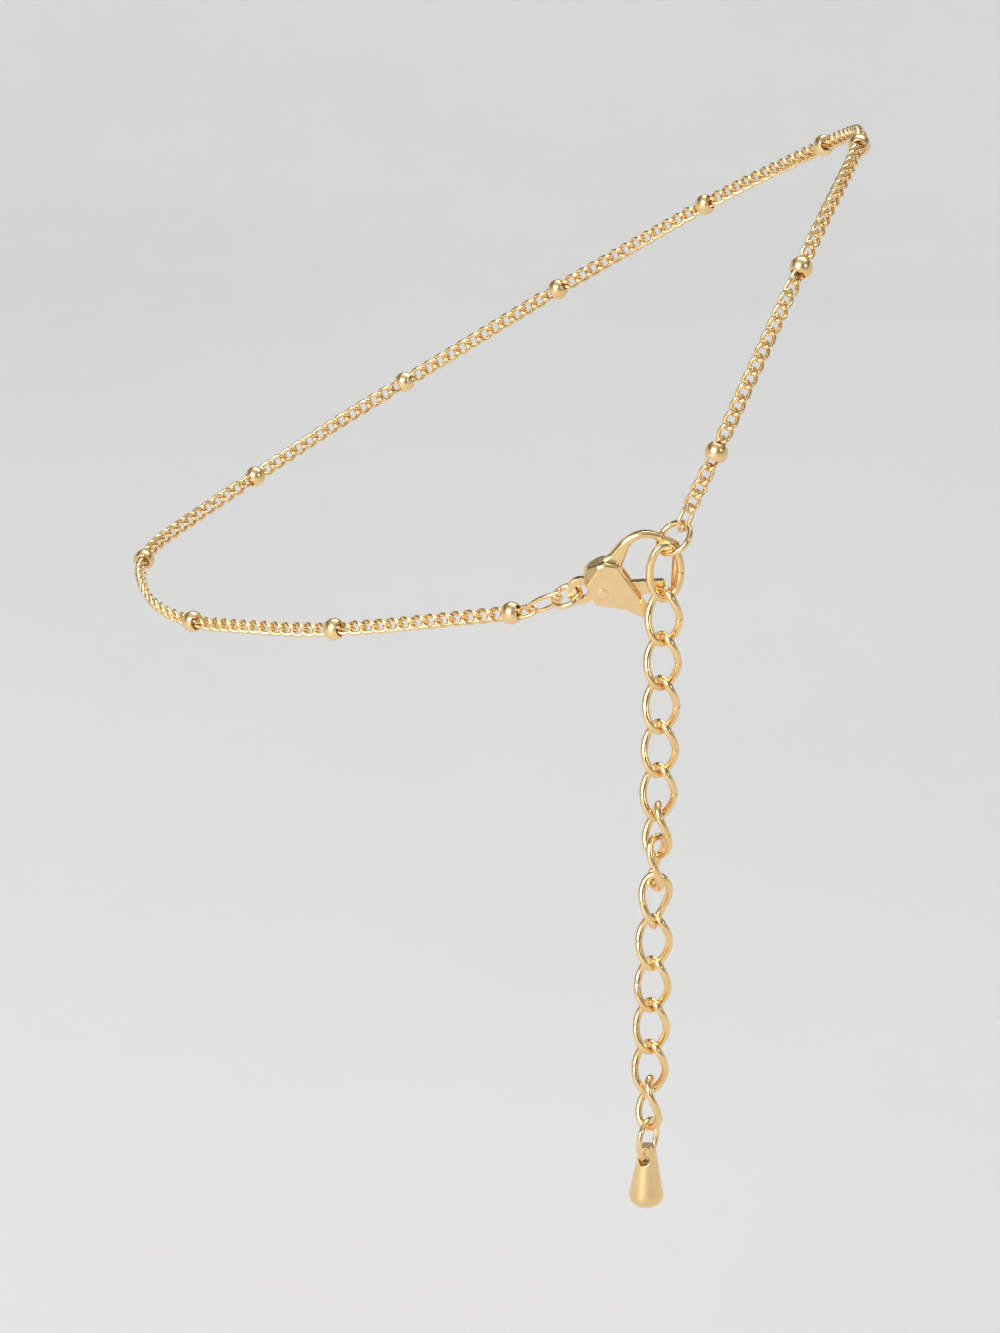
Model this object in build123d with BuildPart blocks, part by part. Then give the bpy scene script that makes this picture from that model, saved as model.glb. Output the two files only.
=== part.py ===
"""A gold satellite-chain anklet, closed round the ankle, with an extender chain and a teardrop charm.

Millimetres. +Z is up, +X points to the toes and -Y to the side where the clasp sits. The origin is the
middle of the loop, where the ankle passes through it; the leg leans back, so the loop's front is higher.
"""

from build123d import *
import math
import os

# Fine chain: a fine curb chain carried as one tube, with a ball bead every BEAD_PITCH along it.
FINE_CHAIN_DIAMETER = 1.3
BEAD_DIAMETER = 2.1
BEAD_BORE = 1.5
BEAD_COUNT = 12
FIRST_BEAD = 1.4
BEAD_PITCH = 18.6

# Route of the fine chain, from the clasp round the back, the far side and the front to the end ring.
FINE_CHAIN_ROUTE = [
    (9.4, -29.0, -16.8),
    (2.3, -27.6, -18.4),
    (-5.5, -25.3, -20.3),
    (-12.5, -22.4, -21.9),
    (-19.2, -19.0, -22.9),
    (-25.4, -14.6, -24.2),
    (-30.6, -9.4, -24.2),
    (-33.7, -3.4, -23.2),
    (-34.7, 3.2, -22.2),
    (-32.4, 9.6, -20.8),
    (-26.8, 16.9, -17.2),
    (-18.6, 22.9, -11.8),
    (-9.4, 26.9, -6.1),
    (0.8, 28.8, 0.6),
    (10.8, 28.2, 7.0),
    (20.2, 24.7, 13.2),
    (27.8, 18.8, 17.8),
    (32.8, 10.9, 21.3),
    (35.1, 2.3, 22.9),
    (34.9, -6.1, 21.4),
    (33.0, -14.3, 16.9),
    (30.6, -20.2, 10.6),
    (28.0, -24.1, 4.0),
    (25.5, -26.5, -2.4),
    (23.8, -27.1, -6.3),
]

# Lobster clasp, drawn in its own plane: u runs from the tail eye to the hook, v to the hook's back.
CLASP_TAIL = (14.4, -29.5, -14.35)
CLASP_AXIS = (0.90, 0.14, 0.42)
CLASP_FACE = (0.21, -0.97, -0.12)
CLASP_THICKNESS = 2.4
HOOK_THICKNESS = 0.9
HOOK_CHAMFER = 0.2
PLATE_CHAMFER = 0.2
TAIL_EYE_OUTER = 2.5
TAIL_EYE_HOLE = 1.3
TAIL_EYE_THICKNESS = 0.8
SLOT_WIDTH = 1.1
PIVOT = (1.75, -0.75)
PIN_DIAMETER = 0.8
PIN_FIT = 0.05
PIN_STAND_OUT = 0.05
LEVER_THICKNESS = 0.9
LEVER_HUB = 1.3
HUB_CLEARANCE = 0.12

# Corners of the hook's outline and the fillet on each.
HOOK_OUTLINE = [
    ((0.6, 0.7), 0.3),
    ((1.2, 1.95), 0.8),
    ((3.3, 1.95), 2.6),
    ((5.45, 3.07), 3.4),
    ((7.6, 3.05), 2.6),
    ((9.9, 0.45), 0.9),
    ((8.9, -1.6), 1.5),
    ((8.05, -3.35), 0.4),
    ((6.8, -3.65), 0.22),
    ((6.8, -3.15), 0.21),
    ((7.35, -3.05), 0.22),
    ((8.15, -1.4), 1.5),
    ((9.05, 0.37), 0.5),
    ((7.35, 2.39), 1.6),
    ((5.85, 2.39), 1.6),
    ((2.7, -1.0), 0.6),
    ((0.6, -0.7), 0.3),
]

# Corners of the thicker body plates and the fillet on each.
PLATE_OUTLINE = [
    ((0.65, 0.8), 0.3),
    ((1.15, 1.88), 0.7),
    ((3.0, 1.88), 0.5),
    ((4.0, 1.2), 0.4),
    ((4.75, -2.6), 0.3),
    ((4.35, -3.35), 0.3),
    ((2.9, -2.95), 0.4),
    ((0.7, -1.5), 0.3),
]

# The slanted facet on each side of the body's upper tail corner: its edge on the flat face starts
# here and runs at this angle, and it falls away outwards at this slope.
FACET_START = (1.07, 0.71)
FACET_ANGLE = 36
FACET_SLOPE = 39
FACET_CUT = 8

# Corners of the slot that the lever swings in, beyond its round end at the pivot.
SLOT_OUTLINE = [
    (1.6, 0.2),
    (5.7, 0.35),
    (5.7, -4.5),
    (2.7, -4.5),
    (1.05, -1.35),
]

# Corners of the lever's outline and the fillet on each: the gate, then the thumb tab.
LEVER_OUTLINE = [
    ((1.85, -0.1), 0.3),
    ((5.1, -1.3), 1.0),
    ((7.2, -2.15), 0.25),
    ((6.95, -2.95), 0.25),
    ((4.65, -2.45), 0.2),
    ((4.85, -3.85), 0.25),
    ((4.15, -4.7), 0.25),
    ((1.35, -1.35), 0.3),
]

# Jump rings. A ring's place is (u, v, w) in the clasp's frame, where w is out of the clasp's face,
# and so is the direction that its face looks in.
CLASP_RING_OUTER = 3.0
CLASP_RING_WIRE = 0.55
CLASP_RING_CENTRE = (-1.36, 0.0, 0.0)
CLASP_RING_FACE = (0.0, 0.94, 0.342)
END_RING_OUTER = 3.75
END_RING_WIRE = 0.55
END_RING_CENTRE = (9.51, 1.2, 0.18)
END_RING_FACE = (-0.223, 0.881, 0.417)

# Small plain links that span from each of these rings to the end of the fine chain.
END_LINK_WIDTH = 1.7
END_LINK_WIRE = 0.4
END_LINK_PLAY = 0.22
CHAIN_END_GAP = 0.12

# Every oval link: half of its flat end and its corner radius as shares of its half width, and half
# of its straight side as a share of its half length.
OVAL_END = 0.42
OVAL_CORNER = 0.4
OVAL_SIDE = 0.45

# Extender chain of twisted oval links, hanging straight down from the end ring.
LINK_LENGTH = 5.56
LINK_WIDTH = 3.5
LINK_WIRE = 0.70
LINK_TWIST = 45.0
LINK_PLAY = 0.08

# Each link's turn about the vertical, and how far it rides up inside the link above. The first link
# is plain and the others are twisted. The chain turns over between the sixth link and the tenth.
LINK_TURNS = [21, -5, 0, 0, 0, 0, -45, -90, -135, -180, -180, -180, -180, -235]
LINK_LIFTS = [0, 0, 0, 0, 0, 0, 0.45, 1.0, 0.45, 0, 0, 0, 0, 0.55]

# Charm and the ring that carries it.
DROP_RING_OUTER = 4.3
DROP_RING_WIRE = 0.55
DROP_RING_TURN = 73
DROP_LENGTH = 6.1
DROP_TOP_DIAMETER = 1.5
DROP_FOOT_DIAMETER = 3.1
# Corners of the drop's rounded foot, as (radius, height above its lowest point), and the fillet on each.
DROP_FLARE = ((1.68, 0.8), 1.0)
DROP_BASE = ((0.85, 0.0), 1.5)
DROP_HOLE = 1.15
DROP_HOLE_DEPTH = 1.2
DROP_RAISE = 0.05


def corner_radii(points):
    """The largest even arc for each corner of an open route: 0.45 of the shorter run beside it."""
    radii = []
    for before, corner, after in zip(points, points[1:], points[2:]):
        run_in = Vector(corner) - Vector(before)
        run_out = Vector(after) - Vector(corner)
        half_turn = math.radians(run_in.get_angle(run_out) / 2)
        radii.append(0.45 * min(run_in.length, run_out.length) / math.tan(half_turn))
    return radii


def save(shape, name):
    shape.label = name
    export_step(shape, f"parts/{name}.step")


def rounded_outline(corners):
    """A filled outline with its own fillet at each corner."""
    with BuildSketch() as outline:
        with BuildLine():
            FilletPolyline(*[corner for corner, _ in corners], radius=[r for _, r in corners], close=True)
        make_face()
    return outline.sketch


def jump_ring(ring_plane, outer, wire):
    """A round wire ring lying in its plane, about the plane's origin."""
    section_plane = Plane(origin=ring_plane.origin, x_dir=ring_plane.x_dir, z_dir=ring_plane.y_dir)
    with BuildPart() as ring:
        with BuildSketch(section_plane):
            with Locations(((outer - wire) / 2, 0)):
                Circle(wire / 2)
        revolve(axis=Axis(tuple(ring_plane.origin), tuple(ring_plane.z_dir)))
    return ring.part


def clasp_frame_plane(centre, face):
    """The plane whose origin and facing direction are given in the clasp's own frame."""
    origin = clasp_plane.from_local_coords(Vector(centre))
    tip = clasp_plane.from_local_coords(Vector(centre) + Vector(face))
    return Plane(origin=origin, z_dir=tip - origin)


def wire_point_towards(ring_plane, radius, target):
    """The point of a ring's wire that lies nearest to the target's side, and the way to it."""
    offset = Vector(target) - ring_plane.origin
    in_plane = offset - ring_plane.z_dir * offset.dot(ring_plane.z_dir)
    outward = in_plane.normalized()
    return ring_plane.origin + outward * radius, outward


def end_link(ring_plane, outer, wire, chain_end):
    """A plain oval link that holds a ring's wire at one end and meets the fine chain's end at the other."""
    wire_point, outward = wire_point_towards(ring_plane, (outer - wire) / 2, chain_end)
    reach = Vector(chain_end) - wire_point
    direction = reach.normalized()
    inner_end = -(wire / 2 + END_LINK_WIRE + END_LINK_PLAY)
    outer_end = reach.length - CHAIN_END_GAP
    middle = wire_point + direction * ((inner_end + outer_end) / 2)
    wire_direction = ring_plane.z_dir.cross(outward)
    across = direction.cross(wire_direction)
    link_plane = Plane(origin=middle, x_dir=across, z_dir=across.cross(direction))
    print("end link length", round(outer_end - inner_end, 2))
    return oval_link(link_plane, outer_end - inner_end, END_LINK_WIDTH, END_LINK_WIRE)


def oval_link(plane, length, width, wire, twist=0.0):
    """An oval wire link, long way along the plane's Y, its two ends turned opposite ways by the twist."""
    half_length = (length - wire) / 2
    half_width = (width - wire) / 2
    quarter = [(OVAL_END * half_width, half_length), (half_width, OVAL_SIDE * half_length)]
    outline = [(0, half_length)] + quarter + [(x, -y) for x, y in reversed(quarter)] + [(0, -half_length)]
    corners = []
    for x, y in outline:
        turn = math.radians(twist * y / half_length)
        corners.append((x * math.cos(turn), y, x * math.sin(turn)))
    with BuildPart() as link:
        with BuildLine(plane) as centreline:
            FilletPolyline(*corners, radius=OVAL_CORNER * half_width)
        half_path = centreline.wire()
        with BuildSketch(Plane(origin=half_path @ 0.0, z_dir=half_path % 0.0)):
            Circle(wire / 2)
        sweep(path=half_path)
        add(link.part.rotate(Axis(tuple(plane.origin), tuple(plane.y_dir)), 180))
    return link.part


def facet_plane(side):
    """The plane of the facet on the front (side 1) or the back (side -1) of the clasp's body."""
    angle = math.radians(FACET_ANGLE)
    slope = math.radians(FACET_SLOPE)
    along = clasp_plane.x_dir * math.cos(angle) + clasp_plane.y_dir * math.sin(angle)
    outward = clasp_plane.y_dir * math.cos(angle) - clasp_plane.x_dir * math.sin(angle)
    facing = outward * math.sin(slope) + clasp_plane.z_dir * (side * math.cos(slope))
    start = clasp_plane.from_local_coords((*FACET_START, side * CLASP_THICKNESS / 2))
    return Plane(origin=start, x_dir=along, z_dir=facing)


def hanging_plane(hang_point, height, turn):
    """An upright plane on the extender's plumb line, its face turned about the vertical."""
    across = Vector(math.cos(math.radians(turn)), math.sin(math.radians(turn)), 0)
    facing = across.cross(Vector(0, 0, 1))
    return Plane(origin=(hang_point.X, hang_point.Y, height), x_dir=across, z_dir=facing)


os.makedirs("parts", exist_ok=True)


# ---- fine chain and its beads ----

radii = corner_radii(FINE_CHAIN_ROUTE)
print("fine chain arc radii:", [round(r, 1) for r in radii])

with BuildPart() as fine_chain:
    with BuildLine() as route:
        FilletPolyline(*FINE_CHAIN_ROUTE, radius=radii)
    chain_path = route.wire()
    with BuildSketch(Plane(origin=chain_path @ 0.0, z_dir=chain_path % 0.0)):
        Circle(FINE_CHAIN_DIAMETER / 2)
    sweep(path=chain_path)
save(fine_chain.part, "fine_chain")

section = math.pi * FINE_CHAIN_DIAMETER**2 / 4
volume_ratio = fine_chain.part.volume / (section * chain_path.length)
print("fine chain length", round(chain_path.length, 2), "volume ratio", round(volume_ratio, 4))

for number in range(BEAD_COUNT):
    along = (FIRST_BEAD + number * BEAD_PITCH) / chain_path.length
    bead_plane = Plane(origin=chain_path @ along, z_dir=chain_path % along)
    with BuildPart(bead_plane) as bead:
        Sphere(BEAD_DIAMETER / 2)
        Cylinder(BEAD_BORE / 2, BEAD_DIAMETER, mode=Mode.SUBTRACT)
    save(bead.part, f"bead_{number + 1:02d}")


# ---- lobster clasp ----

clasp_plane = Plane(origin=CLASP_TAIL, x_dir=CLASP_AXIS, z_dir=CLASP_FACE)
clasp_normal = Axis(CLASP_TAIL, tuple(clasp_plane.z_dir))

with BuildPart() as clasp_body:
    with BuildSketch(clasp_plane):
        add(rounded_outline(HOOK_OUTLINE))
    extrude(amount=HOOK_THICKNESS / 2, both=True)
    chamfer(clasp_body.faces().filter_by(clasp_normal).edges(), HOOK_CHAMFER)
    with BuildSketch(clasp_plane):
        add(rounded_outline(PLATE_OUTLINE))
    extrude(amount=CLASP_THICKNESS / 2, both=True)
    outer_faces = clasp_body.faces().filter_by(clasp_normal).sort_by(clasp_normal)
    chamfer(outer_faces[0].edges() + outer_faces[-1].edges(), PLATE_CHAMFER)
    for side in (1, -1):
        with BuildSketch(facet_plane(side)):
            Rectangle(FACET_CUT, FACET_CUT)
        extrude(amount=FACET_CUT, mode=Mode.SUBTRACT)
    with BuildSketch(clasp_plane):
        Circle(TAIL_EYE_OUTER / 2)
    extrude(amount=TAIL_EYE_THICKNESS / 2, both=True)
    with BuildSketch(clasp_plane):
        with BuildLine():
            Polyline(*SLOT_OUTLINE, close=True)
        make_face()
        with Locations(PIVOT):
            Circle(LEVER_HUB / 2 + HUB_CLEARANCE)
    extrude(amount=SLOT_WIDTH / 2, both=True, mode=Mode.SUBTRACT)
    with BuildSketch(clasp_plane):
        Circle(TAIL_EYE_HOLE / 2)
        with Locations(PIVOT):
            Circle(PIN_DIAMETER / 2 + PIN_FIT)
    extrude(amount=CLASP_THICKNESS, both=True, mode=Mode.SUBTRACT)
save(clasp_body.part, "clasp_body")

with BuildPart() as clasp_lever:
    with BuildSketch(clasp_plane):
        add(rounded_outline(LEVER_OUTLINE))
        with Locations(PIVOT):
            Circle(LEVER_HUB / 2)
            Circle(PIN_DIAMETER / 2 + PIN_FIT, mode=Mode.SUBTRACT)
    extrude(amount=LEVER_THICKNESS / 2, both=True)
save(clasp_lever.part, "clasp_lever")

with BuildPart() as clasp_pin:
    with BuildSketch(clasp_plane):
        with Locations(PIVOT):
            Circle(PIN_DIAMETER / 2)
    extrude(amount=CLASP_THICKNESS / 2 + PIN_STAND_OUT, both=True)
save(clasp_pin.part, "clasp_pin")


# ---- jump rings and the small links at the two ends of the fine chain ----

clasp_ring_plane = clasp_frame_plane(CLASP_RING_CENTRE, CLASP_RING_FACE)
end_ring_plane = clasp_frame_plane(END_RING_CENTRE, END_RING_FACE)
save(jump_ring(clasp_ring_plane, CLASP_RING_OUTER, CLASP_RING_WIRE), "clasp_ring")
save(jump_ring(end_ring_plane, END_RING_OUTER, END_RING_WIRE), "end_ring")

back_link = end_link(clasp_ring_plane, CLASP_RING_OUTER, CLASP_RING_WIRE, FINE_CHAIN_ROUTE[0])
front_link = end_link(end_ring_plane, END_RING_OUTER, END_RING_WIRE, FINE_CHAIN_ROUTE[-1])
save(back_link, "chain_end_link_back")
save(front_link, "chain_end_link_front")


# ---- extender chain, hanging straight down from the lowest point of the end ring ----

below = end_ring_plane.origin - Vector(0, 0, 100)
hang_point, _ = wire_point_towards(end_ring_plane, (END_RING_OUTER - END_RING_WIRE) / 2, below)
link_pitch = LINK_LENGTH - 2 * LINK_WIRE - LINK_PLAY
first_top = hang_point.Z + END_RING_WIRE / 2 + LINK_PLAY + LINK_WIRE
link_height = first_top - LINK_LENGTH / 2 + link_pitch

for number, (turn, lift) in enumerate(zip(LINK_TURNS, LINK_LIFTS)):
    link_height += lift - link_pitch
    link_plane = hanging_plane(hang_point, link_height, turn)
    twist = LINK_TWIST if number else 0.0
    link = oval_link(link_plane, LINK_LENGTH, LINK_WIDTH, LINK_WIRE, twist)
    save(link, f"extender_link_{number + 1:02d}")


# ---- charm on its ring ----

last_link_bottom = link_height - LINK_LENGTH / 2
drop_ring_top = last_link_bottom + LINK_WIRE + LINK_PLAY + DROP_RING_WIRE
drop_ring_plane = hanging_plane(hang_point, drop_ring_top - DROP_RING_OUTER / 2, DROP_RING_TURN)
save(jump_ring(drop_ring_plane, DROP_RING_OUTER, DROP_RING_WIRE), "drop_ring")

hole_height = drop_ring_top - DROP_RING_OUTER + DROP_RING_WIRE / 2 + DROP_RAISE
drop_plane = hanging_plane(hang_point, hole_height, DROP_RING_TURN)
top_radius = DROP_TOP_DIAMETER / 2
lowest = DROP_HOLE_DEPTH - DROP_LENGTH
foot_corners = [(radius, lowest + height) for (radius, height), _ in (DROP_FLARE, DROP_BASE)]
foot_fillets = [fillet_radius for _, fillet_radius in (DROP_FLARE, DROP_BASE)]

with BuildPart() as drop:
    with BuildSketch(drop_plane):
        with BuildLine():
            FilletPolyline((top_radius, DROP_HOLE_DEPTH), *foot_corners, (0, lowest), radius=foot_fillets)
            Polyline((0, lowest), (0, DROP_HOLE_DEPTH), (top_radius, DROP_HOLE_DEPTH))
        make_face()
    revolve(axis=Axis(tuple(drop_plane.origin), (0, 0, 1)))
    with BuildSketch(Plane(origin=drop_plane.origin, z_dir=drop_plane.x_dir)):
        Circle(DROP_HOLE / 2)
    extrude(amount=DROP_FOOT_DIAMETER, both=True, mode=Mode.SUBTRACT)
save(drop.part, "drop")
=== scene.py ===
"""Looks of the gold satellite-chain anklet: real curb links, cast clasp, wire rings and a drop.

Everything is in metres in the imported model's frame: +Z up, +X to the toes, -Y to the clasp side.
"""

import math

import bpy
import numpy as np
from mathutils import Matrix, Vector


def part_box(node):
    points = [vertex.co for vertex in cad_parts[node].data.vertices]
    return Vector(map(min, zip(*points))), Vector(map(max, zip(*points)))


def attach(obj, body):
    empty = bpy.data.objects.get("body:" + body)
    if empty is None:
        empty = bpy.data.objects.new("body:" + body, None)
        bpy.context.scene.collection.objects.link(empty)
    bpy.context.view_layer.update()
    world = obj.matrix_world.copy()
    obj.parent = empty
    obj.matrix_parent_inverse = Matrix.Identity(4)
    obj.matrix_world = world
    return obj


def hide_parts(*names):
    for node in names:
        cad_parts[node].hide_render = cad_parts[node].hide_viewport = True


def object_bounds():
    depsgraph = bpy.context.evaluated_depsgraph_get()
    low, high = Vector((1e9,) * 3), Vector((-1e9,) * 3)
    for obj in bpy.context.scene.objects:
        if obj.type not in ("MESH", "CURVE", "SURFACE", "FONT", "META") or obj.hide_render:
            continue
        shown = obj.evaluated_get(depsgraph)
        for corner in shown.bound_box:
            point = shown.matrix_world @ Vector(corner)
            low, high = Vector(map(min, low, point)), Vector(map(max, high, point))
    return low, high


MM = 0.001

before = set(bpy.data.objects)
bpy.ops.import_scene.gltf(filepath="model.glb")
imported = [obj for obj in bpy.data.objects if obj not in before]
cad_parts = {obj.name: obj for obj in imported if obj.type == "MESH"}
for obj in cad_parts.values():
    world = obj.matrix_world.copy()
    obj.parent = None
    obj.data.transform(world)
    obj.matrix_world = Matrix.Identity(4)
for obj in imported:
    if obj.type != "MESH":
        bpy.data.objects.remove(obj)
cad_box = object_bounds()


# ---- camera ----

# The camera stands where the photograph was taken from and looks at the middle of the anklet, close in.
CAMERA_PLACE = Vector((63.7, -342.6, 72.3)) * MM
CAMERA_TARGET = Vector((2.1, -1.0, -30.5)) * MM
CAMERA_ROLL = 1.0
CAMERA_LENS = 100.0
SENSOR_HEIGHT = 36.0


def make_camera():
    data = bpy.data.cameras.new("camera")
    data.sensor_fit = "VERTICAL"
    data.sensor_height = SENSOR_HEIGHT
    data.lens = CAMERA_LENS
    data.clip_start = 0.01
    data.clip_end = 20.0
    camera = bpy.data.objects.new("camera", data)
    bpy.context.scene.collection.objects.link(camera)
    look = (CAMERA_TARGET - CAMERA_PLACE).to_track_quat("-Z", "Y").to_matrix().to_4x4()
    roll = Matrix.Rotation(math.radians(CAMERA_ROLL), 4, "Z")
    camera.matrix_world = Matrix.Translation(CAMERA_PLACE) @ look @ roll
    bpy.context.scene.camera = camera


make_camera()


# ---- materials ----


class Nodes:
    """A short way to add and join shader nodes."""

    def __init__(self, material):
        material.use_nodes = True
        self.tree = material.node_tree
        self.tree.nodes.clear()

    def add(self, kind, **inputs):
        node = self.tree.nodes.new(kind)
        for name, value in inputs.items():
            socket = node.inputs[name.replace("_", " ")]
            if isinstance(value, bpy.types.NodeSocket):
                self.tree.links.new(value, socket)
            else:
                socket.default_value = value
        return node

    def ramp(self, factor, stops):
        """A colour ramp over (place, colour) stops; a number stands for a grey."""
        node = self.add("ShaderNodeValToRGB", Fac=factor)
        elements = node.color_ramp.elements
        while len(elements) < len(stops):
            elements.new(0.5)
        for element, (place, colour) in zip(elements, stops):
            if isinstance(colour, float):
                colour = (colour, colour, colour)
            element.position = place
            element.color = (*colour, 1.0)
        return node.outputs["Color"]

    def noise(self, vector, scale, detail, roughness=0.5):
        node = self.add("ShaderNodeTexNoise", Vector=vector, Scale=scale, Detail=detail, Roughness=roughness)
        return node.outputs["Fac"]

    def stretched(self, vector, stretch):
        node = self.add("ShaderNodeMapping", Vector=vector, Scale=stretch)
        return node.outputs["Vector"]

    def mix(self, factor, first, second):
        node = self.tree.nodes.new("ShaderNodeMix")
        node.data_type = "RGBA"
        for socket, value in ((node.inputs[0], factor), (node.inputs[6], first), (node.inputs[7], second)):
            if isinstance(value, bpy.types.NodeSocket):
                self.tree.links.new(value, socket)
            elif isinstance(value, float):
                socket.default_value = value
            else:
                socket.default_value = (*value, 1.0)
        return node.outputs[2]


GOLD_PALE = (0.98, 0.73, 0.39)
GOLD_MID = (0.93, 0.64, 0.30)
# The deep gold below is painted shade, mixed into the recesses of every gold material.
GOLD_PAINTED_SHADE = (0.70, 0.41, 0.15)
POLISH_STRETCH = (1.0, 0.35, 3.2)


def gold_material(name, smooth, rough, grain, bump):
    """Bright gold plate: painted shade of a deeper, warmer gold in its recesses, paler on worn edges, with
    fine polishing marks.

    smooth and rough are the ends of its roughness; grain is the size of its marks in metres."""
    material = bpy.data.materials.new(name)
    nodes = Nodes(material)
    place = nodes.add("ShaderNodeTexCoord").outputs["Object"]
    clouds = nodes.noise(place, scale=0.12 / grain, detail=3.0)
    specks = nodes.noise(place, scale=1.0 / grain, detail=4.0, roughness=0.6)
    marks = nodes.noise(nodes.stretched(place, POLISH_STRETCH), scale=0.9 / grain, detail=3.0)
    tone = nodes.ramp(clouds, [(0.30, GOLD_MID), (0.62, GOLD_PALE)])
    shape = nodes.add("ShaderNodeNewGeometry").outputs["Pointiness"]
    # Painted shade: where the pointiness is low, in the recesses, the colour is pulled towards a deeper
    # gold.
    recess_painted_shade = nodes.ramp(shape, [(0.36, 1.0), (0.49, 0.0)])
    edge = nodes.ramp(shape, [(0.53, 0.0), (0.64, 0.6)])
    # This mix paints that shade into the tone.
    tone = nodes.mix(recess_painted_shade, tone, GOLD_PAINTED_SHADE)
    tone = nodes.mix(edge, tone, GOLD_PALE)
    gloss = nodes.ramp(specks, [(0.30, smooth), (0.72, rough)])
    height = nodes.mix(0.5, specks, marks)
    relief = nodes.add("ShaderNodeBump", Height=height, Strength=bump, Distance=0.05 * grain)
    shader = nodes.add(
        "ShaderNodeBsdfPrincipled",
        Base_Color=tone,
        Metallic=1.0,
        Roughness=gloss,
        Normal=relief.outputs["Normal"],
    )
    nodes.add("ShaderNodeOutputMaterial", Surface=shader.outputs["BSDF"])
    return material


CHAIN_GOLD = gold_material("chain_gold", smooth=0.18, rough=0.34, grain=0.00030, bump=0.30)
BEAD_GOLD = gold_material("bead_gold", smooth=0.24, rough=0.36, grain=0.00035, bump=0.20)
LINK_GOLD = gold_material("link_gold", smooth=0.14, rough=0.28, grain=0.00040, bump=0.18)
CLASP_GOLD = gold_material("clasp_gold", smooth=0.16, rough=0.28, grain=0.00045, bump=0.16)
DROP_GOLD = gold_material("drop_gold", smooth=0.15, rough=0.24, grain=0.00040, bump=0.12)


# ---- mesh helpers ----


def piece(name, points, faces, material, body="anklet", stands_for=()):
    """A smooth-shaded mesh piece that rides on a body and stands for CAD nodes."""
    mesh = bpy.data.meshes.new(name)
    mesh.from_pydata([tuple(p) for p in points], [], faces)
    mesh.update()
    mesh.shade_smooth()
    mesh.materials.append(material)
    made = bpy.data.objects.new(name, mesh)
    bpy.context.scene.collection.objects.link(made)
    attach(made, body)
    if stands_for:
        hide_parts(*stands_for)
    return made


def unit(vector):
    return vector / np.linalg.norm(vector)


def node_points(node):
    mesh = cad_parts[node].data
    points = np.zeros(len(mesh.vertices) * 3)
    mesh.vertices.foreach_get("co", points)
    return points.reshape(-1, 3)


def node_centre(node):
    low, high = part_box(node)
    return np.array((low + high) / 2)


def node_axes(node):
    """The long, middle and thin directions of a CAD node."""
    points = node_points(node)
    _, _, axes = np.linalg.svd(points - points.mean(axis=0), full_matrices=False)
    return axes[0], axes[1], np.cross(axes[0], axes[1])


def oval(half_length, half_width, squareness, twist, steps):
    """Centreline of a wire link, long way along x, its two ends turned opposite ways by the twist."""
    turn = np.linspace(0, 2 * math.pi, steps, endpoint=False)
    cosine = np.cos(turn)
    sine = np.sin(turn)
    power = 2.0 / squareness
    x = half_length * np.sign(cosine) * np.abs(cosine) ** power
    y = half_width * np.sign(sine) * np.abs(sine) ** power
    points = np.stack([x, y, np.zeros(steps)], axis=1)
    points = evenly_spaced(points, steps)
    angle = math.radians(twist) * points[:, 0] / half_length
    return np.stack([points[:, 0], points[:, 1] * np.cos(angle), points[:, 1] * np.sin(angle)], axis=1)


def evenly_spaced(points, steps):
    """The same closed line with its points evenly spaced along it."""
    closed = np.vstack([points, points[:1]])
    along = np.concatenate([[0.0], np.cumsum(np.linalg.norm(np.diff(closed, axis=0), axis=1))])
    wanted = np.linspace(0, along[-1], steps, endpoint=False)
    return np.stack([np.interp(wanted, along, closed[:, axis]) for axis in range(3)], axis=1)


def ring_line(radius, steps):
    turn = np.linspace(0, 2 * math.pi, steps, endpoint=False)
    return np.stack([radius * np.cos(turn), radius * np.sin(turn), np.zeros(steps)], axis=1)


# A wire's cut end, ring by ring: how deep each lies in the rounded edge, and its share of the wire's size.
CUT_END = [(0.0, 0.0), (0.0, 0.80), (0.35, 0.94), (1.0, 1.0)]
CUT_ROUNDING = 0.12


def wire_loop(line, wire, sides, seam=None, seam_gap=0.0):
    """Points and faces of a round wire along a closed centreline.

    With a seam, the wire is cut there: its two ends face each other across the gap, edges rounded."""
    steps = len(line)
    tangents = np.roll(line, -1, axis=0) - np.roll(line, 1, axis=0)
    tangents /= np.linalg.norm(tangents, axis=1)[:, None]
    outward = line - line.mean(axis=0)
    outward -= (outward * tangents).sum(axis=1)[:, None] * tangents
    outward /= np.linalg.norm(outward, axis=1)[:, None]
    upward = np.cross(tangents, outward)
    radius = wire / 2
    stations = [(index, 0.0, 1.0) for index in range(steps)]
    if seam is not None:
        rounding = CUT_ROUNDING * wire
        start = [(seam, seam_gap / 2 + depth * rounding, size) for depth, size in CUT_END]
        uncut = [((seam + step) % steps, 0.0, 1.0) for step in range(1, steps)]
        finish = [(seam, -shift, size) for _, shift, size in reversed(start)]
        stations = start + uncut + finish
    circle = np.linspace(0, 2 * math.pi, sides, endpoint=False)
    points = []
    for index, shift, size in stations:
        middle = line[index] + tangents[index] * shift
        for turn in circle:
            across = math.cos(turn) * outward[index] + math.sin(turn) * upward[index]
            points.append(middle + radius * size * across)
    rows = len(stations)
    faces = []
    for row in range(rows if seam is None else rows - 1):
        below = row * sides
        above = ((row + 1) % rows) * sides
        for side in range(sides):
            after = (side + 1) % sides
            faces.append((below + side, below + after, above + after, above + side))
    points = np.array(points)
    if seam is not None:
        points, faces = close_ends(points, faces, sides)
    return points, faces


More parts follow.
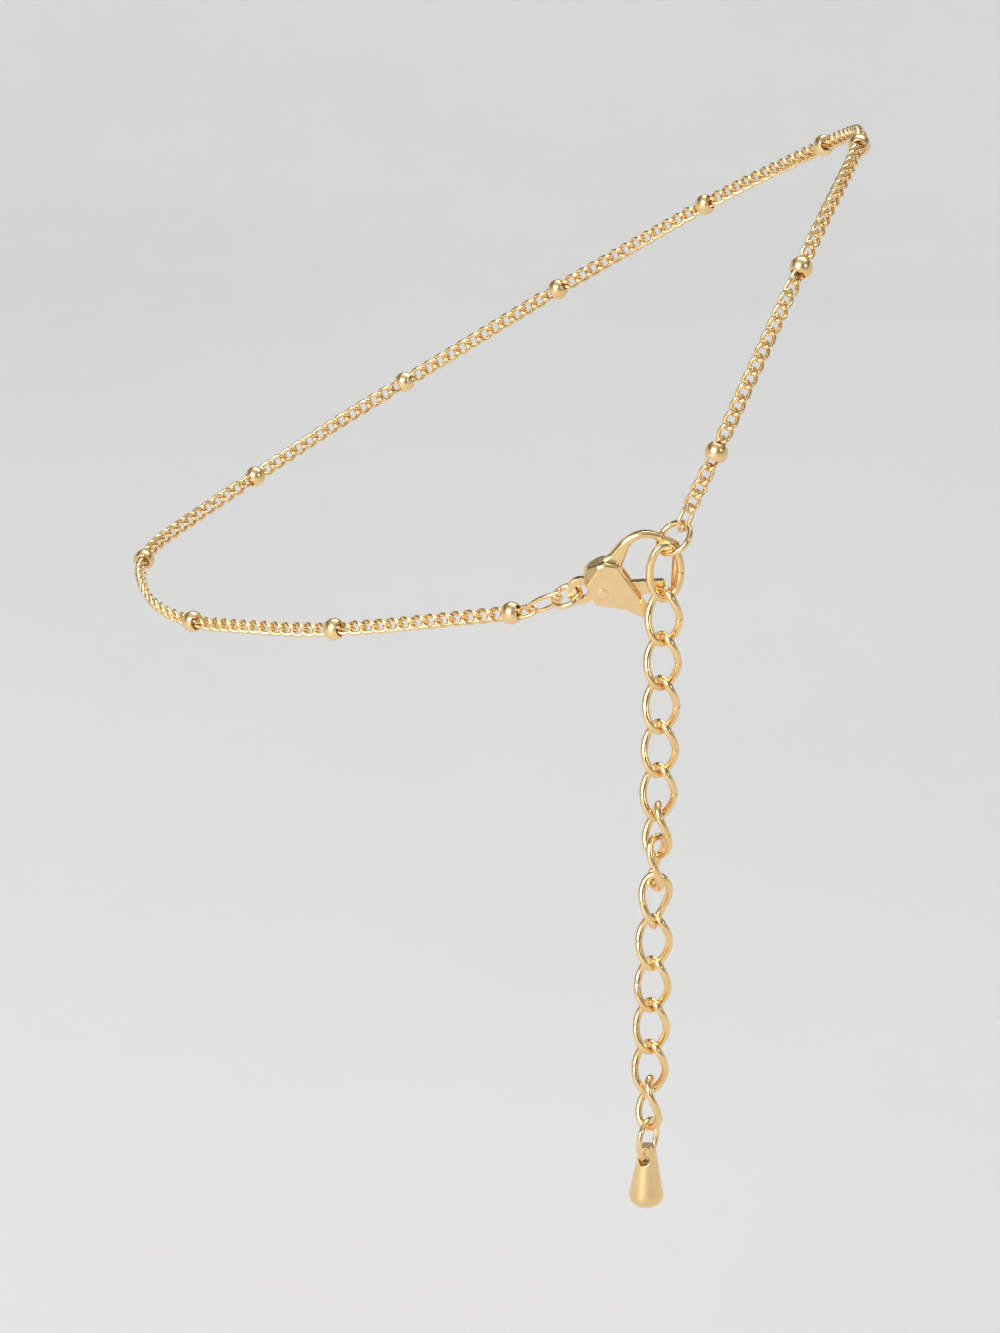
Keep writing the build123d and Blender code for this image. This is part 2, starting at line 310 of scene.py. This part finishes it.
def close_ends(points, faces, sides):
    """Turns the two end rings, which have no size, into one point each."""
    kept = points[sides - 1 : len(points) - sides + 1]
    joined = []
    last_point = len(kept) - 1
    for face in faces:
        corners = []
        for corner in face:
            index = min(max(corner - (sides - 1), 0), last_point)
            if index not in corners:
                corners.append(index)
        joined.append(tuple(corners))
    return kept, joined


def placed(points, origin, x_axis, y_axis, z_axis):
    return origin + points @ np.stack([x_axis, y_axis, z_axis])


# ---- fine chain ----

# The chain's route, in millimetres, from the clasp round the back, the far side and the front to the end
# ring: the same points as the CAD's.
FINE_CHAIN_ROUTE = [
    (9.4, -29.0, -16.8),
    (2.3, -27.6, -18.4),
    (-5.5, -25.3, -20.3),
    (-12.5, -22.4, -21.9),
    (-19.2, -19.0, -22.9),
    (-25.4, -14.6, -24.2),
    (-30.6, -9.4, -24.2),
    (-33.7, -3.4, -23.2),
    (-34.7, 3.2, -22.2),
    (-32.4, 9.6, -20.8),
    (-26.8, 16.9, -17.2),
    (-18.6, 22.9, -11.8),
    (-9.4, 26.9, -6.1),
    (0.8, 28.8, 0.6),
    (10.8, 28.2, 7.0),
    (20.2, 24.7, 13.2),
    (27.8, 18.8, 17.8),
    (32.8, 10.9, 21.3),
    (35.1, 2.3, 22.9),
    (34.9, -6.1, 21.4),
    (33.0, -14.3, 16.9),
    (30.6, -20.2, 10.6),
    (28.0, -24.1, 4.0),
    (25.5, -26.5, -2.4),
    (23.8, -27.1, -6.3),
]

FINE_LINK_LENGTH = 2.2 * MM
FINE_LINK_WIDTH = 1.47 * MM
FINE_LINK_WIRE = 0.40 * MM
FINE_LINK_PITCH = 1.33 * MM
FINE_LINK_TWIST = 48.0
FINE_LINK_SQUARENESS = 2.3
FINE_LINK_STEPS = 36
FINE_LINK_SIDES = 10
FIRST_LINK_AT = 0.08 * MM

# The chain's first and last links are a little longer, and turned to hook into the small end links: the
# small link's name, the side, how far the link's middle lies inside the chain's end, the turn of its
# middle, its twist, and how far it leans from the chain's line towards the small link's.
JOIN_LINK_LENGTH = 2.4 * MM
JOIN_LINK_WIDTH = 1.45 * MM
JOIN_LINK_WIRE = 0.36 * MM
JOIN_LINKS = [
    ("chain_end_link_back", -1, 0.02 * MM, 52.0, 5.0, 0.33),
    ("chain_end_link_front", 1, 0.10 * MM, 3.0, 62.0, 0.02),
]

# Links narrow where they pass through a bead: to this share of their width inside this distance of its
# middle, and back to their full width by the second distance.
NARROW_SHARE = 0.80
NARROW_WITHIN = 1.15 * MM
FULL_BEYOND = 1.6 * MM
BEAD_COUNT = 12

# The leg's axis, up the leg: the chain's flat side lies against the ankle round it.
LEG_AXIS = np.array((-0.5417, 0.0, 0.8406))

# The chain's direction is taken between the points this far on either side.
TANGENT_REACH = 0.3 * MM
SPLINE_RESOLUTION = 24


def spline_points(route):
    """Points along the smooth line of the route, read from its quadratic NURBS spline."""
    curve = bpy.data.curves.new("route", "CURVE")
    curve.dimensions = "3D"
    spline = curve.splines.new("NURBS")
    spline.points.add(len(route) - 1)
    for point, place in zip(spline.points, route):
        point.co = (*(Vector(place) * MM), 1.0)
    spline.order_u = 3
    spline.use_endpoint_u = True
    spline.resolution_u = SPLINE_RESOLUTION
    holder = bpy.data.objects.new("route", curve)
    mesh = bpy.data.meshes.new_from_object(holder)
    points = np.array([tuple(v.co) for v in mesh.vertices])
    bpy.data.objects.remove(holder)
    bpy.data.meshes.remove(mesh)
    bpy.data.curves.remove(curve)
    return points


class Route:
    """The fine chain's line, measured by distance along it and running straight on past both ends."""

    def __init__(self, points):
        self.points = points
        self.along = np.concatenate([[0.0], np.cumsum(np.linalg.norm(np.diff(points, axis=0), axis=1))])
        self.length = self.along[-1]

    def at(self, distance):
        inside = min(max(distance, 0.0), self.length)
        place = np.array([np.interp(inside, self.along, self.points[:, axis]) for axis in range(3)])
        return place + self.tangent(inside) * (distance - inside)

    def tangent(self, distance):
        low = max(distance - TANGENT_REACH, 0.0)
        high = min(distance + TANGENT_REACH, self.length)
        ends = [[np.interp(d, self.along, self.points[:, axis]) for axis in range(3)] for d in (low, high)]
        return unit(np.array(ends[1]) - np.array(ends[0]))

    def frame(self, distance):
        """Place, tangent, direction along the ankle's skin and direction out of the ankle."""
        inside = min(max(distance, 0.0), self.length)
        tangent = self.tangent(inside)
        outward = unit(np.cross(LEG_AXIS, tangent))
        place = self.at(distance)
        if outward @ place < 0:
            outward = -outward
        return place, tangent, np.cross(outward, tangent), outward

    def nearest(self, place):
        return self.along[np.argmin(np.linalg.norm(self.points - place, axis=1))]


chain_route = Route(spline_points(FINE_CHAIN_ROUTE))
bead_nodes = [f"bead_{number:02d}" for number in range(1, BEAD_COUNT + 1)]
bead_places = [chain_route.nearest(node_centre(node)) for node in bead_nodes]


def link_width_share(distance):
    from_bead = min(abs(distance - place) for place in bead_places)
    return np.interp(from_bead, [NARROW_WITHIN, FULL_BEYOND], [NARROW_SHARE, 1.0])


def join_link(node, side, inside_end, middle_turn, twist, lean):
    """Points of the chain's first link (side -1) or last link (side 1)."""
    line = oval(
        (JOIN_LINK_LENGTH - JOIN_LINK_WIRE) / 2,
        (JOIN_LINK_WIDTH - JOIN_LINK_WIRE) / 2,
        FINE_LINK_SQUARENESS,
        twist,
        FINE_LINK_STEPS,
    )
    link_points, _ = wire_loop(line, JOIN_LINK_WIRE, FINE_LINK_SIDES)
    chain_end = 0.0 if side < 0 else chain_route.length
    _, tangent, across, _ = chain_route.frame(chain_end - side * FIRST_LINK_AT)
    end_axis = node_axes(node)[0]
    end_axis = end_axis * np.sign(end_axis @ tangent)
    tangent = unit(tangent * (1 - lean) + end_axis * lean)
    across = unit(across - (across @ tangent) * tangent)
    outward = np.cross(tangent, across)
    angle = math.radians(middle_turn)
    turned_across = math.cos(angle) * across + math.sin(angle) * outward
    turned_outward = math.cos(angle) * outward - math.sin(angle) * across
    centre = chain_route.at(chain_end) - side * inside_end * tangent
    return placed(link_points, centre, tangent, turned_across, turned_outward)


def make_fine_chain():
    """All the chain's links, in one mesh."""
    line = oval(
        (FINE_LINK_LENGTH - FINE_LINK_WIRE) / 2,
        (FINE_LINK_WIDTH - FINE_LINK_WIRE) / 2,
        FINE_LINK_SQUARENESS,
        FINE_LINK_TWIST,
        FINE_LINK_STEPS,
    )
    link_points, link_faces = wire_loop(line, FINE_LINK_WIRE, FINE_LINK_SIDES)
    usable = chain_route.length - 2 * FIRST_LINK_AT
    count = round(usable / FINE_LINK_PITCH) + 1
    pitch = usable / (count - 1)
    points = []
    faces = []
    for number in range(count):
        base = len(points) * len(link_points)
        if number == 0:
            points.append(join_link(*JOIN_LINKS[0]))
        elif number == count - 1:
            points.append(join_link(*JOIN_LINKS[1]))
        else:
            distance = FIRST_LINK_AT + number * pitch
            narrowed = link_points * (1.0, link_width_share(distance), 1.0)
            points.append(placed(narrowed, *chain_route.frame(distance)))
        faces += [tuple(base + corner for corner in face) for face in link_faces]
    piece("fine_chain_links", np.vstack(points), faces, CHAIN_GOLD, stands_for=["fine_chain"])


make_fine_chain()


# ---- beads ----

BEAD_RADIUS = 1.045 * MM
BEAD_MOUTH = 0.66 * MM
BEAD_RIM = 0.08 * MM
BEAD_STEPS = 29
RIM_STEPS = 4
RIM_FROM = 0.3
LATHE_SIDES = 40


def bead_profile():
    """(along, radius) of a ball with a rolled rim round each mouth and a bore between them."""
    mouth_angle = math.asin((BEAD_MOUTH + BEAD_RIM) / BEAD_RADIUS)
    profile = []
    for turn in np.linspace(mouth_angle, math.pi - mouth_angle, BEAD_STEPS):
        profile.append((-BEAD_RADIUS * math.cos(turn), BEAD_RADIUS * math.sin(turn)))
    face = BEAD_RADIUS * math.cos(mouth_angle)
    rim = []
    for turn in np.linspace(RIM_FROM, 1.0, RIM_STEPS) * math.pi / 2:
        rim.append((face - BEAD_RIM * (1 - math.cos(turn)), BEAD_MOUTH + BEAD_RIM * (1 - math.sin(turn))))
    profile += rim
    profile += [(-along, radius) for along, radius in reversed(rim)]
    return profile


def lathe(profile, sides, closed=True):
    """Points and faces of a profile of (along, radius) turned about x.

    A closed profile joins up with itself; an open one starts and ends on the axis."""
    points = []
    for along, radius in profile:
        for turn in np.linspace(0, 2 * math.pi, sides, endpoint=False):
            points.append((along, radius * math.cos(turn), radius * math.sin(turn)))
    rows = len(profile)
    faces = []
    for row in range(rows if closed else rows - 1):
        below = row * sides
        above = ((row + 1) % rows) * sides
        for side in range(sides):
            after = (side + 1) % sides
            faces.append((below + side, below + after, above + after, above + side))
    points = np.array(points)
    return (points, faces) if closed else close_ends(points, faces, sides)


def make_beads():
    ball_points, ball_faces = lathe(bead_profile(), LATHE_SIDES)
    for node, distance in zip(bead_nodes, bead_places):
        _, tangent, across, outward = chain_route.frame(distance)
        points = placed(ball_points, node_centre(node), tangent, across, outward)
        piece(f"{node}_ball", points, ball_faces, BEAD_GOLD, stands_for=[node])


make_beads()


# ---- extender links, jump rings and the small end links ----

# Each link's turn about the vertical, in degrees. Links 2 and 10 are turned 2 and 12 degrees less than
# in the CAD. These links are rounder, and at the CAD's turns they touch the clasp's lever and link 9.
LINK_TURNS = [21, -3, 0, 0, 0, 0, -45, -90, -135, -168, -180, -180, -180, -235]
LINK_LENGTH = 5.56 * MM
LINK_WIDTH = 3.5 * MM
LINK_WIRE = 0.70 * MM
LINK_TWIST = 45.0
LINK_SQUARENESS = 2.05
LOOP_STEPS = 72
LINK_SIDES = 20
LINK_SEAM = 18
SEAM_GAP = 0.015 * MM


def make_extender():
    """The links hang below one another; the first is flat, and the rest are twisted curb links."""
    half_length = (LINK_LENGTH - LINK_WIRE) / 2
    half_width = (LINK_WIDTH - LINK_WIRE) / 2
    for number, turn in enumerate(LINK_TURNS):
        node = f"extender_link_{number + 1:02d}"
        twist = LINK_TWIST if number else 0.0
        line = oval(half_length, half_width, LINK_SQUARENESS, -twist, LOOP_STEPS)
        loop_points, loop_faces = wire_loop(line, LINK_WIRE, LINK_SIDES, seam=LINK_SEAM, seam_gap=SEAM_GAP)
        angle = math.radians(turn)
        across = np.array((math.cos(angle), math.sin(angle), 0.0))
        up = np.array((0.0, 0.0, 1.0))
        points = placed(loop_points, node_centre(node), up, across, np.cross(up, across))
        piece(f"{node}_wire", points, loop_faces, LINK_GOLD, stands_for=[node])


make_extender()


RING_WIRE = 0.55 * MM
RING_SIDES = 22


def make_ring(node, outer, seam):
    """A round jump ring with its cut seam a share of the way round from its lowest point."""
    _, _, face = node_axes(node)
    down = np.array((0.0, 0.0, -1.0))
    start = unit(down - (down @ face) * face)
    line = ring_line((outer - RING_WIRE) / 2, LOOP_STEPS)
    points, faces = wire_loop(line, RING_WIRE, RING_SIDES, seam=round(LOOP_STEPS * seam), seam_gap=SEAM_GAP)
    points = placed(points, node_centre(node), start, np.cross(face, start), face)
    piece(f"{node}_wire", points, faces, LINK_GOLD, stands_for=[node])


make_ring("clasp_ring", outer=3.0 * MM, seam=0.30)
make_ring("end_ring", outer=3.75 * MM, seam=0.62)
make_ring("drop_ring", outer=4.29 * MM, seam=0.30)

END_LINK_WIDTH = 1.7 * MM
END_LINK_WIRE = 0.38 * MM
END_LINK_SQUARENESS = 2.3
END_LINK_STEPS = 64
END_LINK_SIDES = 18


def make_end_link(node):
    """A plain soldered link between a jump ring and the fine chain's end."""
    centre = node_centre(node)
    points = node_points(node) - centre
    long_way, across, face = node_axes(node)
    length = np.ptp(points @ long_way)
    half_width = (END_LINK_WIDTH - END_LINK_WIRE) / 2
    line = oval((length - END_LINK_WIRE) / 2, half_width, END_LINK_SQUARENESS, 0.0, END_LINK_STEPS)
    points, faces = wire_loop(line, END_LINK_WIRE, END_LINK_SIDES)
    points = placed(points, centre, long_way, across, face)
    piece(f"{node}_wire", points, faces, CHAIN_GOLD, stands_for=[node])


make_end_link("chain_end_link_back")
make_end_link("chain_end_link_front")


# ---- clasp and drop: the CAD shape with cast, softly rounded edges ----


def cast_piece(name, node, material, slot, voxel, smoothing, body="anklet"):
    """A copy of a CAD node remeshed finely, in millimetres, laid back on the CAD faces so that its flats
    stay flat, and smoothed so that its edges are soft as on a polished casting."""
    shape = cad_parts[node].data.copy()
    shape.transform(Matrix.Scale(1 / MM, 4))
    made = bpy.data.objects.new(name, shape)
    guide = bpy.data.objects.new(f"{name}_guide", shape)
    bpy.context.scene.collection.objects.link(made)
    bpy.context.scene.collection.objects.link(guide)
    remesh = made.modifiers.new("remesh", "REMESH")
    remesh.mode = "VOXEL"
    remesh.voxel_size = voxel
    wrap = made.modifiers.new("wrap", "SHRINKWRAP")
    wrap.target = guide
    smooth = made.modifiers.new("smooth", "SMOOTH")
    smooth.factor = 0.5
    smooth.iterations = smoothing
    bpy.context.view_layer.update()
    final = bpy.data.meshes.new_from_object(made.evaluated_get(bpy.context.evaluated_depsgraph_get()))
    final.name = name
    final.transform(Matrix.Scale(MM, 4))
    final.materials.clear()
    final.materials.append(material)
    final.shade_smooth()
    made.modifiers.clear()
    made.data = final
    bpy.data.objects.remove(guide)
    bpy.data.meshes.remove(shape)
    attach(made, body)
    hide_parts(node)


BODY_CAST = {"voxel": 0.048, "smoothing": 6}
LEVER_CAST = {"voxel": 0.045, "smoothing": 5}
DROP_CAST = {"voxel": 0.045, "smoothing": 6}

cast_piece("clasp_body_cast", "clasp_body", CLASP_GOLD, "clasp_gold", **BODY_CAST)
cast_piece("clasp_lever_cast", "clasp_lever", CLASP_GOLD, "clasp_gold", **LEVER_CAST, body="lever")
cast_piece("drop_cast", "drop", DROP_GOLD, "drop_gold", **DROP_CAST)

RIVET_SHAFT = 0.4 * MM
RIVET_HEAD = 0.5 * MM
RIVET_RISE = 0.045 * MM
RIVET_RIM = 0.012 * MM
RIVET_STEPS = 12


def make_rivet():
    """The lever's pivot pin, riveted over at both ends into low domed heads."""
    points = node_points("clasp_pin")
    centre = node_centre("clasp_pin")
    long_way, across, face = node_axes("clasp_pin")
    half = np.ptp(points @ long_way) / 2
    dome = []
    for turn in np.linspace(0.0, 1.0, RIVET_STEPS):
        dome.append((half - RIVET_RISE * turn**2, RIVET_HEAD * turn))
    dome += [(half - RIVET_RISE - RIVET_RIM, RIVET_HEAD), (half - RIVET_RISE - RIVET_RIM, RIVET_SHAFT)]
    profile = [(-along, radius) for along, radius in dome] + list(reversed(dome))
    shape, faces = lathe(profile, LATHE_SIDES, closed=False)
    shape = placed(shape, centre, long_way, across, face)
    piece("clasp_pin_rivet", shape, faces, CLASP_GOLD, stands_for=["clasp_pin"])


make_rivet()


# ---- floor, backdrop and light ----

FLOOR_BELOW = 25.0 * MM
MIDDLE_RADIUS = 0.001
FLOOR_RADIUS = 0.55
BEND_RADIUS = 0.35
BEND_STEPS = 17
WALL_HEIGHT = 0.45
STAGE_SIDES = 96
STAGE_PALE = (0.70, 0.70, 0.70)
STAGE_GREY = (0.25, 0.25, 0.25)
CLOUD_SHADE = 0.975

# The stage turns grey between these places, towards the near side and upwards.
GREY_Y = (0.25, -0.45)
GREY_Z = (-0.095, 0.08)

# The room's light, from the horizon up.
ROOM_LOW = (0.03, 0.03, 0.03)
ROOM_MIDDLE = (0.05, 0.05, 0.05)
ROOM_HIGH = (0.55, 0.56, 0.58)


def stage_material():
    """Pale plaster and floor, with a grey wall on the near side so that the metal has dark to show."""
    material = bpy.data.materials.new("stage_pale")
    nodes = Nodes(material)
    place = nodes.add("ShaderNodeTexCoord").outputs["Object"]
    clouds = nodes.noise(place, scale=7.0, detail=5.0, roughness=0.6)
    pale = nodes.ramp(clouds, [(0.35, tuple(CLOUD_SHADE * c for c in STAGE_PALE)), (0.65, STAGE_PALE)])
    split = nodes.add("ShaderNodeSeparateXYZ", Vector=place)
    near = nodes.add("ShaderNodeMapRange", Value=split.outputs["Y"], From_Min=GREY_Y[0], From_Max=GREY_Y[1])
    high = nodes.add("ShaderNodeMapRange", Value=split.outputs["Z"], From_Min=GREY_Z[0], From_Max=GREY_Z[1])
    grey = nodes.add("ShaderNodeMapRange", Value=near.outputs["Result"], To_Max=high.outputs["Result"])
    tone = nodes.mix(grey.outputs["Result"], pale, STAGE_GREY)
    shader = nodes.add("ShaderNodeBsdfPrincipled", Base_Color=tone, Roughness=0.6)
    nodes.add("ShaderNodeOutputMaterial", Surface=shader.outputs["BSDF"])
    return material


def make_stage():
    """A round pale floor that curves up into a wall all round."""
    floor = cad_box[0][2] - FLOOR_BELOW
    profile = [(MIDDLE_RADIUS, floor), (FLOOR_RADIUS, floor)]
    for turn in np.linspace(0, math.pi / 2, BEND_STEPS)[1:]:
        out, rise = BEND_RADIUS * math.sin(turn), BEND_RADIUS * (1 - math.cos(turn))
        profile.append((FLOOR_RADIUS + out, floor + rise))
    profile.append((FLOOR_RADIUS + BEND_RADIUS, floor + WALL_HEIGHT))
    points = []
    for radius, height in profile:
        for turn in np.linspace(0, 2 * math.pi, STAGE_SIDES, endpoint=False):
            points.append((radius * math.cos(turn), radius * math.sin(turn), height))
    faces = [tuple(range(STAGE_SIDES))]
    for row in range(len(profile) - 1):
        below, above = row * STAGE_SIDES, (row + 1) * STAGE_SIDES
        for side in range(STAGE_SIDES):
            after = (side + 1) % STAGE_SIDES
            faces.append((below + side, above + side, above + after, below + after))
    mesh = bpy.data.meshes.new("stage_floor")
    mesh.from_pydata(points, [], faces)
    mesh.update()
    mesh.shade_smooth()
    mesh.materials.append(stage_material())
    stage = bpy.data.objects.new("stage_floor", mesh)
    bpy.context.scene.collection.objects.link(stage)


WARM = (1.0, 0.98, 0.95)
COOL = (0.95, 0.97, 1.0)
SOFT = (1.0, 0.99, 0.97)


def soft_light(name, place, aim, size, watts, colour):
    """A rectangular area light that the camera doesn't see."""
    data = bpy.data.lights.new(name, "AREA")
    data.shape = "RECTANGLE"
    data.size = size[0]
    data.size_y = size[1]
    data.energy = watts
    data.color = colour
    light = bpy.data.objects.new(name, data)
    light.location = place
    light.rotation_euler = (Vector(aim) - Vector(place)).to_track_quat("-Z", "Y").to_euler()
    light.visible_camera = False
    bpy.context.scene.collection.objects.link(light)


def make_world():
    """A dim room: lighter overhead than at eye level, so that polished metal has something to show."""
    world = bpy.data.worlds.new("world")
    bpy.context.scene.world = world
    nodes = Nodes(world)
    direction = nodes.add("ShaderNodeTexCoord").outputs["Generated"]
    height = nodes.add("ShaderNodeSeparateXYZ", Vector=direction).outputs["Z"]
    tone = nodes.ramp(height, [(0.0, ROOM_LOW), (0.55, ROOM_MIDDLE), (0.95, ROOM_HIGH)])
    shader = nodes.add("ShaderNodeBackground", Color=tone, Strength=1.0)
    nodes.add("ShaderNodeOutputWorld", Surface=shader.outputs["Background"])


make_stage()
make_world()
soft_light("light_key", (-0.33, -0.72, 0.42), aim=(0, 0, -0.03), size=(0.50, 0.50), watts=7.5, colour=WARM)
soft_light("light_fill", (0.85, -0.55, 0.35), aim=(0, 0, -0.03), size=(0.14, 0.6), watts=2.4, colour=COOL)
soft_light("light_back", (0.1, 0.45, 0.95), aim=(0, 0.05, -0.05), size=(0.9, 0.30), watts=5.5, colour=SOFT)

bpy.context.scene.view_settings.view_transform = "Standard"
